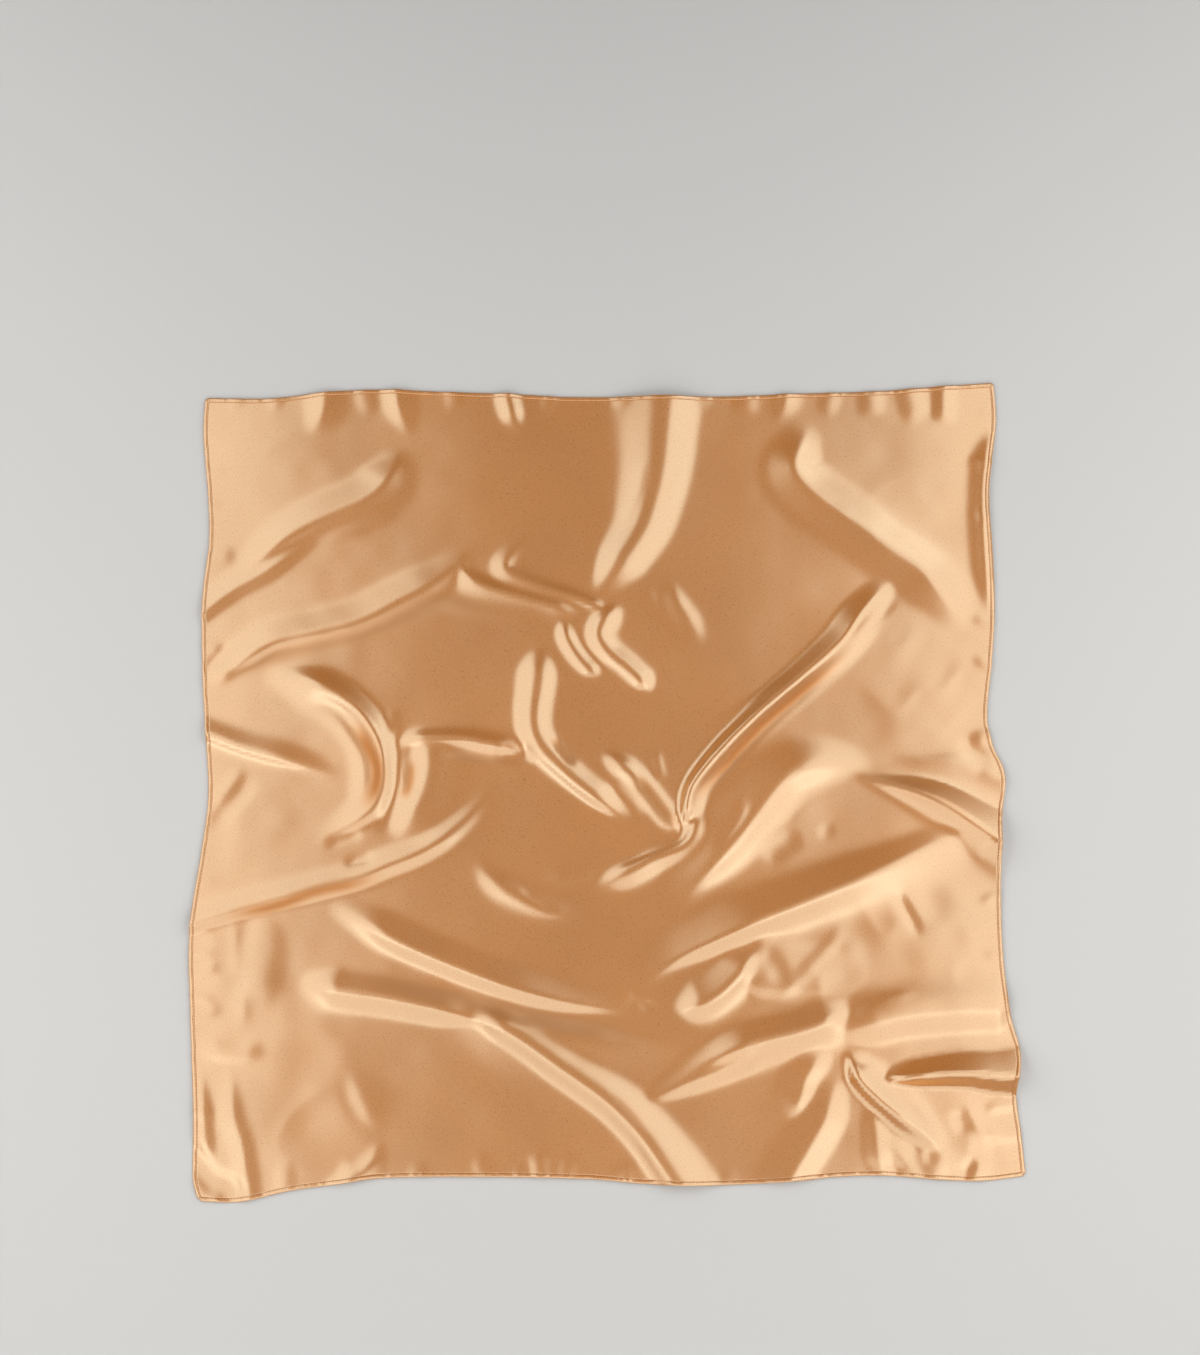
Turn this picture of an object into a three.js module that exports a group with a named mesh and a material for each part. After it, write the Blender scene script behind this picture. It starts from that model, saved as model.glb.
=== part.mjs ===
import * as THREE from "three";

// A square satin scarf, spread out on a level surface and seen from above.
// It lies in the XY plane, with +Y towards its back edge and +Z up. The cloth is a thin wall
// that lies flat between its folds and is lifted by them, open underneath, and a narrow
// rolled hem runs along each of its four edges.

// Driving dimensions, in millimetres
const side = 675; // length of a side as the scarf lies
const clothWall = 1; // wall of the satin panel
const hemWidth = 3.4; // width of the rolled hem
const hemHeight = 2; // height of the rolled hem
const seamGap = 0.3; // clearance between the panel and the hems, and where two hems meet
const foldHeight = 10; // height of the tallest fold
const crestRound = 0.15; // share of a flank over which a fold rounds off at its crest
const footRound = 0.6; // share of a flank over which it eases out at its foot
const endTaper = 0.55; // how narrow a fold gets where it fades away, as a share of its width

// How finely the cloth is divided
const panelCells = 48; // cells along each side of the panel
const leastFlankCells = 1.5; // cells that the narrowest flank spans
const crestSteps = 5; // straight stretches between two points of a fold's crest

// The hem's cross-section: across from its inner to its outer edge, and up,
// as shares of the hem's width and height
const hemSection = [
  { across: 0, up: 0 },
  { across: 1, up: 0 },
  { across: 1, up: 0.6 },
  { across: 0.7, up: 1 },
  { across: 0.25, up: 1 },
  { across: 0, up: 0.6 },
];

// How far each edge swings outwards from a true square. Both columns are hundredths of the
// side: at is the place along the edge, from its left or front end, and out is the swing.
const edgeSwing = {
  front: [
    { at: 0, out: 1.5 }, { at: 5, out: 1.6 }, { at: 11, out: 0.3 }, { at: 17, out: -0.5 },
    { at: 23, out: -1.25 }, { at: 35, out: -1.35 }, { at: 47, out: -1.1 }, { at: 53, out: -0.6 },
    { at: 60, out: -0.3 }, { at: 71, out: -0.75 }, { at: 77, out: -1.35 }, { at: 83, out: -1.5 },
    { at: 90, out: -1 }, { at: 95, out: -0.9 }, { at: 100, out: -1.5 },
  ],
  back: [
    { at: 0, out: -1.3 }, { at: 8, out: -1.4 }, { at: 15, out: -0.6 }, { at: 22, out: -0.2 },
    { at: 30, out: -0.5 }, { at: 40, out: -0.85 }, { at: 47, out: -1.2 }, { at: 65, out: -1.15 },
    { at: 75, out: -0.75 }, { at: 85, out: -0.45 }, { at: 92, out: 0.1 }, { at: 100, out: 0.7 },
  ],
  left: [
    { at: 0, out: -1.6 }, { at: 3, out: -0.8 }, { at: 10, out: -0.7 }, { at: 17, out: -0.3 },
    { at: 25, out: 0.15 }, { at: 30, out: 0.4 }, { at: 35, out: 0.15 }, { at: 42, out: -0.8 },
    { at: 49, out: -1.5 }, { at: 56, out: -1.05 }, { at: 64, out: -0.4 }, { at: 74, out: -0.1 },
    { at: 81, out: -0.75 }, { at: 87, out: -0.5 }, { at: 95, out: 0.3 }, { at: 100, out: 0.2 },
  ],
  right: [
    { at: 0, out: 1.4 }, { at: 5, out: 1 }, { at: 10, out: 0.5 }, { at: 15, out: 1.1 },
    { at: 20, out: 0 }, { at: 29, out: -0.7 }, { at: 42, out: -0.5 }, { at: 49, out: 0.2 },
    { at: 53, out: -1.2 }, { at: 57, out: -1.8 }, { at: 64, out: -1 }, { at: 71, out: -0.5 },
    { at: 78, out: -0.6 }, { at: 85, out: -0.85 }, { at: 90, out: -0.35 }, { at: 95, out: 0.3 },
    { at: 100, out: 0.1 },
  ],
};

// The folds. path follows the crest, in hundredths of the side from the middle of the scarf.
// height is a share of the tallest fold. left and right are the widths of the two flanks,
// as seen along the path, at its start and its end, in hundredths of the side. fade is the
// share of the path over which the fold rises at its start and falls away at its end.
const folds = [
  // back left
  { name: "upper_left_long", height: 0.42, left: [4.6, 5.4], right: [1.8, 4.6], fade: [0.3, 0.2],
    path: [[-46.5, 25], [-43, 27.6], [-40, 30], [-36, 32.5], [-30, 35], [-27, 37], [-25.2, 41.5]] },
  { name: "upper_left_short", height: 0.28, left: [3, 3], right: [1.8, 2], fade: [0, 0.48],
    path: [[-50, 20.6], [-46, 23.7], [-42, 26], [-38, 28.8], [-34.5, 30.8]] },
  { name: "left_sweep", height: 0.44, left: [4.6, 5], right: [2, 3.4], fade: [0.2, 0.25],
    path: [[-48.5, 11], [-46, 13.6], [-43, 15.8], [-40, 17.3], [-35, 18.4], [-30, 19.8],
      [-25, 22.4], [-20, 24.6],
      [-14.8, 28.6]] },
  { name: "left_sweep_tail", height: 0.3, left: [2.4, 2], right: [2, 2.2], fade: [0.33, 0.23],
    path: [[-27, 20.6], [-22, 21.8], [-17, 22], [-11, 20.6], [-4, 19.6]] },
  { name: "crease_above_tail", height: 0.32, left: [2.4, 1.4], right: [3, 1.6], fade: [0.33, 0.18],
    path: [[-9, 29.5], [-12.4, 27.6], [-11.8, 25.8], [-8, 23.8], [-3, 22], [1.5, 20.4]] },
  { name: "back_pucker_left", height: 0.32, left: [3.4, 3], right: [4.4, 4.6], fade: [0, 0.5],
    path: [[-35.2, 51], [-35.4, 47], [-36.6, 42.5]] },
  { name: "back_pucker_middle", height: 0.3, left: [3, 2.6], right: [2.8, 2.4], fade: [0, 0.5],
    path: [[-26, 51], [-26, 47.6], [-24.4, 43]] },
  // back middle
  { name: "top_middle", height: 0.56, left: [5.2, 3], right: [3.6, 3.4], fade: [0, 0.28],
    path: [[8.3, 50.5], [7.8, 44], [7.5, 40], [6.8, 36], [5.5, 32], [3.3, 28.5], [1.2, 25.7],
      [-1, 22.6]] },
  { name: "prong", height: 0.36, left: [1.9, 1.9], right: [1.7, 1.7], fade: [0.33, 0.33],
    path: [[-4.6, 20.6], [-4, 17.6], [-2.8, 15.5], [-1, 13.6], [0.6, 12.4]] },
  { name: "prong_blob", height: 0.44, left: [3.4, 2], right: [2.4, 1.8], fade: [0.23, 0.28],
    path: [[3, 22], [0.4, 19.8], [-0.2, 17.8], [1, 15.8], [3.4, 13.8], [6.4, 10.6]] },
  { name: "back_streak", height: 0.22, left: [1.8, 3], right: [3.6, 4], fade: [0.38, 0.48],
    path: [[8.6, 25.5], [9.8, 22], [11.6, 19], [12.8, 16]] },
  // back right
  { name: "upper_right", height: 0.6, left: [5, 5.4], right: [6, 4.6], fade: [0.23, 0.28],
    path: [[27.4, 45], [25.4, 42.2], [24.8, 39.2], [26.6, 36.4], [30, 33.7], [33, 31.6],
      [36, 29.2], [40, 26.4],
      [43, 23], [45.6, 19]] },
  { name: "back_pucker_right", height: 0.24, left: [3, 2.4], right: [2.6, 2.4], fade: [0, 0.5],
    path: [[23.8, 51], [23.6, 48], [22.6, 45]] },
  { name: "right_edge_curl", height: 0.3, left: [2.2, 2], right: [2.4, 2.2], fade: [0.28, 0.28],
    path: [[49.6, 44.5], [48.4, 41], [48, 36], [48.2, 29], [48.8, 21]] },
  // middle right
  { name: "long_diagonal", height: 0.9, left: [3.6, 3.8], right: [5, 4.2], fade: [0.23, 0.08],
    path: [[37.4, 26], [33, 21], [30, 17], [25, 12.5], [20, 8.3], [15, 3.5], [11.5, -0.8],
      [10.6, -4], [10.6, -7]] },
  { name: "diagonal_hook", height: 0.44, left: [2.4, 2.4], right: [2.2, 2.4], fade: [0.23, 0.48],
    path: [[12.2, -3], [11.8, -6.4], [10.4, -8.4], [7, -9.8], [4, -11.4], [-1, -13.8]] },
  { name: "middle_right_arc", height: 0.7, left: [4.4, 3.4], right: [4.2, 4.6], fade: [0.28, 0.33],
    path: [[34, 1.2], [30, 1.9], [26, 1.4], [23, -0.2], [20, -3.8], [17, -7.6], [13, -11.8],
      [8.5, -16.4]] },
  { name: "right_edge_shelf", height: 0.84, left: [2.6, 4.6], right: [9, 13], fade: [0.25, 0],
    path: [[31, 0.4], [35, -0.7], [40, -2.2], [43, -3.7], [46, -5.4], [51.5, -8.8]] },
  { name: "right_edge_upper", height: 0.28, left: [3, 3.4], right: [1.8, 2.4], fade: [0.48, 0],
    path: [[35, 3], [40, 2.2], [44, 1.8], [47, 0.6], [50, -0.6]] },
  // front right
  { name: "lower_right_long", height: 0.9, left: [1.8, 3], right: [3, 7.5], fade: [0.06, 0.33],
    path: [[4.8, -26.8], [6.2, -24.8], [10, -22.2], [15, -19.8], [20, -17.6], [25, -15.6],
      [35, -11.4], [44, -7]] },
  { name: "lower_right_shelf", height: 0.74, left: [3, 3.4], right: [4.6, 4.6], fade: [0.23, 0.28],
    path: [[13, -35], [17, -33.2], [21, -32], [25, -31], [28, -29.6], [31.5, -28]] },
  { name: "lower_right_roll", height: 0.44, left: [5, 6], right: [4.2, 4.4], fade: [0.38, 0.18],
    path: [[27, -31.6], [31, -29.6], [36, -28.4], [41, -27.8], [47, -27.8], [51, -28.2]] },
  { name: "lower_right_edge", height: 1, left: [2.8, 3.8], right: [2.2, 2.6], fade: [0.2, 0],
    path: [[34.6, -36], [37, -35.2], [41, -34.6], [45, -34.5], [48.6, -35.2], [52, -35.2]] },
  { name: "corner_spike", height: 0.54, left: [4, 3.8], right: [2, 1.7], fade: [0.28, 0.38],
    path: [[30.6, -35], [31.6, -37.4], [34, -39.8], [37, -42.2], [41.5, -45.6]] },
  { name: "corner_ray_left", height: 0.4, left: [3, 3.4], right: [4, 4], fade: [0.33, 0.18],
    path: [[30, -35], [28.8, -39], [27.4, -42], [25.2, -45.4], [22.4, -50]] },
  { name: "corner_ray_right", height: 0.34, left: [2.8, 2.6], right: [1.5, 1.7], fade: [0.33, 0.28],
    path: [[31.2, -38], [31.5, -42], [31.4, -47.6]] },
  { name: "zigzag", height: 0.28, left: [1.8, 1.6], right: [1.5, 1.4], fade: [0.33, 0.38],
    path: [[27.2, -32.8], [25.2, -34.8], [23.8, -37], [23, -40.6]] },
  // front middle
  { name: "lower_middle_hump", height: 0.6, left: [2.2, 2.2], right: [3.8, 2.8], fade: [0.28, 0.33],
    path: [[8.4, -29.4], [12, -28.8], [14.2, -27.6], [16.2, -25.6], [18, -23.4], [19.6, -20.8]] },
  { name: "lower_middle_step", height: 0.4, left: [3.6, 3.4], right: [4.6, 5], fade: [0.38, 0.18],
    path: [[-16, -29], [-10, -30.4], [-4, -31.8], [2, -32.6], [8.6, -33]] },
  { name: "lower_streak", height: 0.38, left: [1.8, 2], right: [2, 2.4], fade: [0.48, 0.23],
    path: [[4, -40.6], [10, -37.8], [15, -35.8], [18.4, -34.2], [21.4, -32]] },
  { name: "front_diagonal", height: 0.62, left: [3, 5.8], right: [2.4, 3], fade: [0.2, 0],
    path: [[-18, -28.4], [-13, -30.4], [-9, -32.6], [-5, -35.4], [0, -38.8], [3, -41.4],
      [6, -44.8], [10.2, -51]] },
  // front left
  { name: "lower_left_upper", height: 0.74, left: [4.4, 4], right: [3.2, 2.4], fade: [0.23, 0.38],
    path: [[-33.5, -15.6], [-29, -17.8], [-25, -19.9], [-20, -22.2], [-15, -24.3], [-10, -26],
      [-4, -27.4],
      [5, -28.8]] },
  { name: "lower_left_lower", height: 0.6, left: [3.8, 3.2], right: [2.8, 2], fade: [0.2, 0.33],
    path: [[-36.4, -25.2], [-32, -26.2], [-27, -26.9], [-22, -28], [-17, -29.6], [-12, -31.4]] },
  { name: "lower_left_post", height: 0.13, left: [4, 3.6], right: [3.6, 3.4], fade: [0.43, 0.43],
    path: [[-41, -16], [-41.5, -22], [-42, -30]] },
  { name: "front_left_ray", height: 0.24, left: [4.6, 4.2], right: [1.8, 2], fade: [0.43, 0],
    path: [[-44.4, -36], [-44, -41], [-43, -45.6], [-42, -52]] },
  { name: "front_left_corner", height: 0.34, left: [1.8, 2], right: [3.4, 3.4], fade: [0, 0.28],
    path: [[-50.5, -44.2], [-48, -47.2], [-45.6, -49.4], [-42, -51.4]] },
  { name: "front_left_edge", height: 0.28, left: [2.6, 2.6], right: [2, 2.6], fade: [0.18, 0.48],
    path: [[-34, -51], [-30.4, -48.8], [-27.4, -46.8], [-26.4, -43.4]] },
  // middle left
  { name: "left_arc", height: 0.78, left: [3.8, 2.2], right: [4.4, 4.4], fade: [0.23, 0.43],
    path: [[-42, 13], [-37, 12], [-33, 10.2], [-30, 7.8], [-28, 5.2], [-27, 2], [-27.2, -1.2],
      [-29.2, -5], [-36, -9]] },
  { name: "left_arc_blade", height: 0.36, left: [3.6, 3], right: [2.8, 2.4], fade: [0.23, 0.38],
    path: [[-22.6, 5.2], [-21.8, 2], [-22.4, -1.4], [-23.6, -4.6], [-25.4, -8.2]] },
  { name: "middle_bridge", height: 0.44, left: [2.4, 2.4], right: [2, 2], fade: [0.23, 0.23],
    path: [[-25.6, 3.6], [-23, 4.7], [-18, 4.9], [-13, 4.1], [-8.4, 2.6]] },
  { name: "left_edge_ridge", height: 0.5, left: [3, 3.4], right: [2.2, 2.6], fade: [0, 0.48],
    path: [[-50.5, 6.2], [-47, 4.7], [-44, 3.6], [-40, 2.5], [-36, 1.4], [-32, 0]] },
  { name: "left_diagonal", height: 0.38, left: [5, 5], right: [2, 2], fade: [0, 0.28],
    path: [[-52, -17], [-45, -14.6], [-40, -13], [-35, -11.5], [-30, -10], [-25, -7.9],
      [-20, -4.7], [-16, -1]] },
  { name: "left_diagonal_lower", height: 0.46, left: [2, 1.7], right: [2.6, 3], fade: [0.2, 0.28],
    path: [[-49, -18.6], [-45, -17.8], [-40, -16.6], [-35, -15], [-30, -13.7], [-26, -12],
      [-22, -10.2], [-18, -7.6],
      [-14.6, -4.4], [-11, 0.4]] },
  // middle
  { name: "middle_left", height: 0.5, left: [3.6, 3], right: [3.8, 1.8], fade: [0.16, 0.2],
    path: [[-7.3, 17], [-7.9, 12], [-8.4, 8.5], [-8.3, 6], [-7.2, 3.6], [-5, 1.3], [-2.5, -1],
      [0, -3], [3.4, -5.8]] },
  { name: "middle_wedge", height: 0.44, left: [2.8, 2.2], right: [2.8, 2.2], fade: [0.28, 0.18],
    path: [[-0.4, 3.4], [3, 1.2], [5, -0.8], [6.7, -3], [8.3, -5], [10.2, -7]] },
  { name: "middle_low_arc", height: 0.34, left: [3, 2.6], right: [3.2, 3], fade: [0.38, 0.48],
    path: [[-15.5, -9.5], [-13.6, -12.4], [-11, -14.2], [-7, -16], [-1, -17.5]] },
];

function hundredths(share) {
  return (share / 100) * side;
}

function smooth(share) {
  const s = THREE.MathUtils.clamp(share, 0, 1);
  return s * s * (3 - 2 * s);
}

// The outline is four smooth curves of how far each edge swings out
function swingCurve(rows) {
  const curve = new THREE.SplineCurve(rows.map((row) => new THREE.Vector2(row.at, row.out)));
  const samples = curve.getPoints(rows.length * 8);
  return (share) => {
    const at = THREE.MathUtils.clamp(share * 100, 0, 100);
    const next = samples.findIndex((point, i) => i > 0 && point.x >= at);
    const a = samples[next - 1];
    const b = samples[next];
    return hundredths(THREE.MathUtils.mapLinear(at, a.x, b.x, a.y, b.y));
  };
}

const swing = Object.fromEntries(Object.entries(edgeSwing).map(([edge, rows]) => [edge, swingCurve(rows)]));

// A place on the scarf from its shares across (left to right) and along (front to back)
function placeAt(across, along) {
  const x = (across - 0.5) * side - (1 - across) * swing.left(along) + across * swing.right(along);
  const y = (along - 0.5) * side - (1 - along) * swing.front(across) + along * swing.back(across);
  return new THREE.Vector2(x, y);
}

// What a slope adds up to that grows smoothly from nothing to one over a width
function eased(value, width) {
  const inside = THREE.MathUtils.clamp(value, 0, width);
  return inside ** 3 / width ** 2 - inside ** 4 / (2 * width ** 3) + Math.max(value - width, 0);
}

// How far the cloth has come down at a share of a flank: 0 at the crest, 1 at the foot
function fallenAt(out) {
  const fallen = eased(out, crestRound) - eased(out - 1 + footRound, footRound);
  return fallen / (1 - crestRound / 2 - footRound / 2);
}

// A fold becomes a function that gives its height at a place
function foldLift(fold) {
  const curve = new THREE.SplineCurve(fold.path.map(([x, y]) => new THREE.Vector2(hundredths(x), hundredths(y))));
  const crest = curve.getSpacedPoints((fold.path.length - 1) * crestSteps);
  const top = fold.height * foldHeight;
  const leastFlank = (leastFlankCells * side) / panelCells;
  return (place) => {
    let nearest = { distance: Infinity, share: 0, turn: 1 };
    for (let i = 0; i + 1 < crest.length; i++) {
      const step = crest[i + 1].clone().sub(crest[i]);
      const from = place.clone().sub(crest[i]);
      const along = THREE.MathUtils.clamp(from.dot(step) / step.lengthSq(), 0, 1);
      const distance = from.distanceTo(step.clone().multiplyScalar(along));
      if (distance < nearest.distance) {
        nearest = { distance, share: (i + along) / (crest.length - 1), turn: step.cross(from) };
      }
    }
    const flank = nearest.turn > 0 ? fold.left : fold.right;
    const rise = fold.fade[0] > 0 ? smooth(nearest.share / fold.fade[0]) : 1;
    const fall = fold.fade[1] > 0 ? smooth((1 - nearest.share) / fold.fade[1]) : 1;
    const ends = rise * fall;
    const full = hundredths(THREE.MathUtils.lerp(flank[0], flank[1], nearest.share));
    const width = full * THREE.MathUtils.lerp(endTaper, 1, ends);
    const out = nearest.distance / Math.max(width, leastFlank);
    return out < 1 ? top * ends * (1 - fallenAt(out)) : 0;
  };
}

const lifts = folds.map(foldLift);

// Where folds meet, the cloth rises a little over the taller one, not by the sum of both
function liftAt(place) {
  return Math.hypot(...lifts.map((lift) => lift(place)));
}

function bodyGeometry(points, triangles) {
  const geometry = new THREE.BufferGeometry();
  geometry.setAttribute("position", new THREE.Float32BufferAttribute(points.flatMap((p) => p.toArray()), 3));
  geometry.setIndex(triangles.flat());
  geometry.computeVertexNormals();
  return geometry;
}

// The panel: a grid of cells inside the hems, with an upper and a lower skin
function panelGeometry() {
  const inset = (hemWidth + seamGap) / side;
  const row = panelCells + 1;
  const lower = [];
  for (let j = 0; j < row; j++) {
    for (let i = 0; i < row; i++) {
      const across = THREE.MathUtils.lerp(inset, 1 - inset, i / panelCells);
      const along = THREE.MathUtils.lerp(inset, 1 - inset, j / panelCells);
      const place = placeAt(across, along);
      lower.push(new THREE.Vector3(place.x, place.y, liftAt(place)));
    }
  }
  const upper = lower.map((p) => new THREE.Vector3(p.x, p.y, p.z + clothWall));
  const up = lower.length;
  const triangles = [];
  for (let j = 0; j < panelCells; j++) {
    for (let i = 0; i < panelCells; i++) {
      const a = j * row + i;
      const b = a + 1;
      const c = b + row;
      const d = a + row;
      // Each cell is split along its flatter diagonal, which follows the folds
      const alongAC = Math.abs(lower[a].z - lower[c].z) <= Math.abs(lower[b].z - lower[d].z);
      const halves = alongAC ? [[a, b, c], [a, c, d]] : [[a, b, d], [b, c, d]];
      for (const [p, q, r] of halves) {
        triangles.push([p + up, q + up, r + up], [p, r, q]);
      }
    }
  }
  const rim = [];
  for (let i = 0; i < panelCells; i++) rim.push(i);
  for (let j = 0; j < panelCells; j++) rim.push(j * row + panelCells);
  for (let i = panelCells; i > 0; i--) rim.push(panelCells * row + i);
  for (let j = panelCells; j > 0; j--) rim.push(j * row);
  rim.forEach((p, i) => {
    const q = rim[(i + 1) % rim.length];
    triangles.push([p, q, q + up], [p, q + up, p + up]);
  });
  return bodyGeometry([...lower, ...upper], triangles);
}

// One hem: its section carried along an edge, mitred at both corners.
// spot turns a share along the edge and a share in from the outline into a place.
function hemGeometry(spot, turnsOver) {
  const width = hemWidth / side;
  const mitreGap = (0.75 * seamGap) / side;
  const points = [];
  for (let i = 0; i <= panelCells; i++) {
    for (const { across, up } of hemSection) {
      const depth = (1 - across) * width;
      const start = depth + mitreGap;
      const place = spot(THREE.MathUtils.lerp(start, 1 - start, i / panelCells), depth);
      points.push(new THREE.Vector3(place.x, place.y, liftAt(place) + up * hemHeight));
    }
  }
  const ring = hemSection.length;
  const triangles = [];
  for (let i = 0; i < panelCells; i++) {
    for (let k = 0; k < ring; k++) {
      const a = i * ring + k;
      const b = i * ring + ((k + 1) % ring);
      triangles.push([a, a + ring, b + ring], [a, b + ring, b]);
    }
  }
  const last = panelCells * ring;
  for (let k = 1; k + 1 < ring; k++) {
    triangles.push([0, k, k + 1], [last, last + k + 1, last + k]);
  }
  return bodyGeometry(points, turnsOver ? triangles.map(([p, q, r]) => [p, r, q]) : triangles);
}

const satin = new THREE.MeshStandardMaterial({ color: 0xc78f58, roughness: 0.4, metalness: 0.3 });
const hemCloth = new THREE.MeshStandardMaterial({ color: 0xb87a45, roughness: 0.55, metalness: 0.1 });

const scarf = new THREE.Group();

function addPiece(name, geometry, material) {
  const mesh = new THREE.Mesh(geometry, material.clone());
  mesh.name = name;
  scarf.add(mesh);
}

addPiece("satin_panel", panelGeometry(), satin);
addPiece("hem_front", hemGeometry((along, depth) => placeAt(along, depth), false), hemCloth);
addPiece("hem_back", hemGeometry((along, depth) => placeAt(along, 1 - depth), true), hemCloth);
addPiece("hem_left", hemGeometry((along, depth) => placeAt(depth, along), true), hemCloth);
addPiece("hem_right", hemGeometry((along, depth) => placeAt(1 - depth, along), false), hemCloth);

// The origin is on the surface, under the middle of the scarf
const middle = new THREE.Box3().setFromObject(scarf).getCenter(new THREE.Vector3());
scarf.position.set(-middle.x, -middle.y, 0);

export default scarf;
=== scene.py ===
import math
import bpy
import numpy as np
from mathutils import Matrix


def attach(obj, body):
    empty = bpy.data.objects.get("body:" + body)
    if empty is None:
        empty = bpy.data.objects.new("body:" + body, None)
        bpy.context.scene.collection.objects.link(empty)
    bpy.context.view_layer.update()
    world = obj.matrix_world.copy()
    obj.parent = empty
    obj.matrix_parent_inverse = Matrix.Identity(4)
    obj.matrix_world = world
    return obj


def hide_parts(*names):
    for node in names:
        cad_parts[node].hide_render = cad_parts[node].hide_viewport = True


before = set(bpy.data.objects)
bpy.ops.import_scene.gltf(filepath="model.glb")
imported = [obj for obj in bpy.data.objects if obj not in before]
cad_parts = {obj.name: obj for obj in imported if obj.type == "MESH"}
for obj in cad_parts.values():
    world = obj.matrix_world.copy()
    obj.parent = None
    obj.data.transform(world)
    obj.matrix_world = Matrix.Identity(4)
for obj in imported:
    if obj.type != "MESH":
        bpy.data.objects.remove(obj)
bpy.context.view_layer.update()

scene = bpy.context.scene
millimetre = 0.001

# the real scarf, in metres
scarf = {
    "side": 0.675,  # one side as it lies
    "cut": 0.70,  # one side as it was cut
    "cloth": 0.0003,  # thickness of the satin
    "cells": 220,  # cells of the panel along one side
    "inset": 0.002,  # share of a side by which the panel stops short of each edge, inside the hem
}

# how many stretches a curve gets between two of its points
curveSteps = {"edge": 8, "fold": 8, "crease": 4}

# how far each edge swings out of a true square: place along it, swing, in hundredths of the side
edgeSwing = {
    "front": [(0, 1.5), (5, 1.6), (11, 0.3), (17, -0.5), (23, -1.25), (35, -1.35), (47, -1.1),
              (53, -0.6), (60, -0.3), (71, -0.75), (77, -1.35), (83, -1.5), (90, -1), (95, -0.9),
              (100, -1.5)],
    "back": [(0, -1.3), (8, -1.4), (15, -0.6), (22, -0.2), (30, -0.5), (40, -0.85), (47, -1.2),
             (65, -1.15), (75, -0.75), (85, -0.45), (92, 0.1), (100, 0.7)],
    "left": [(0, -1.6), (3, -0.8), (10, -0.7), (17, -0.3), (25, 0.15), (30, 0.4), (35, 0.15),
             (42, -0.8), (49, -1.5), (56, -1.05), (64, -0.4), (74, -0.1), (81, -0.75), (87, -0.5),
             (95, 0.3), (100, 0.2)],
    "right": [(0, 1.4), (5, 1), (10, 0.5), (15, 1.1), (20, 0), (29, -0.7), (42, -0.5), (49, 0.2),
              (53, -1.2), (57, -1.8), (64, -1), (71, -0.5), (78, -0.6), (85, -0.85), (90, -0.35),
              (95, 0.3), (100, 0.1)],
}

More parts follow.
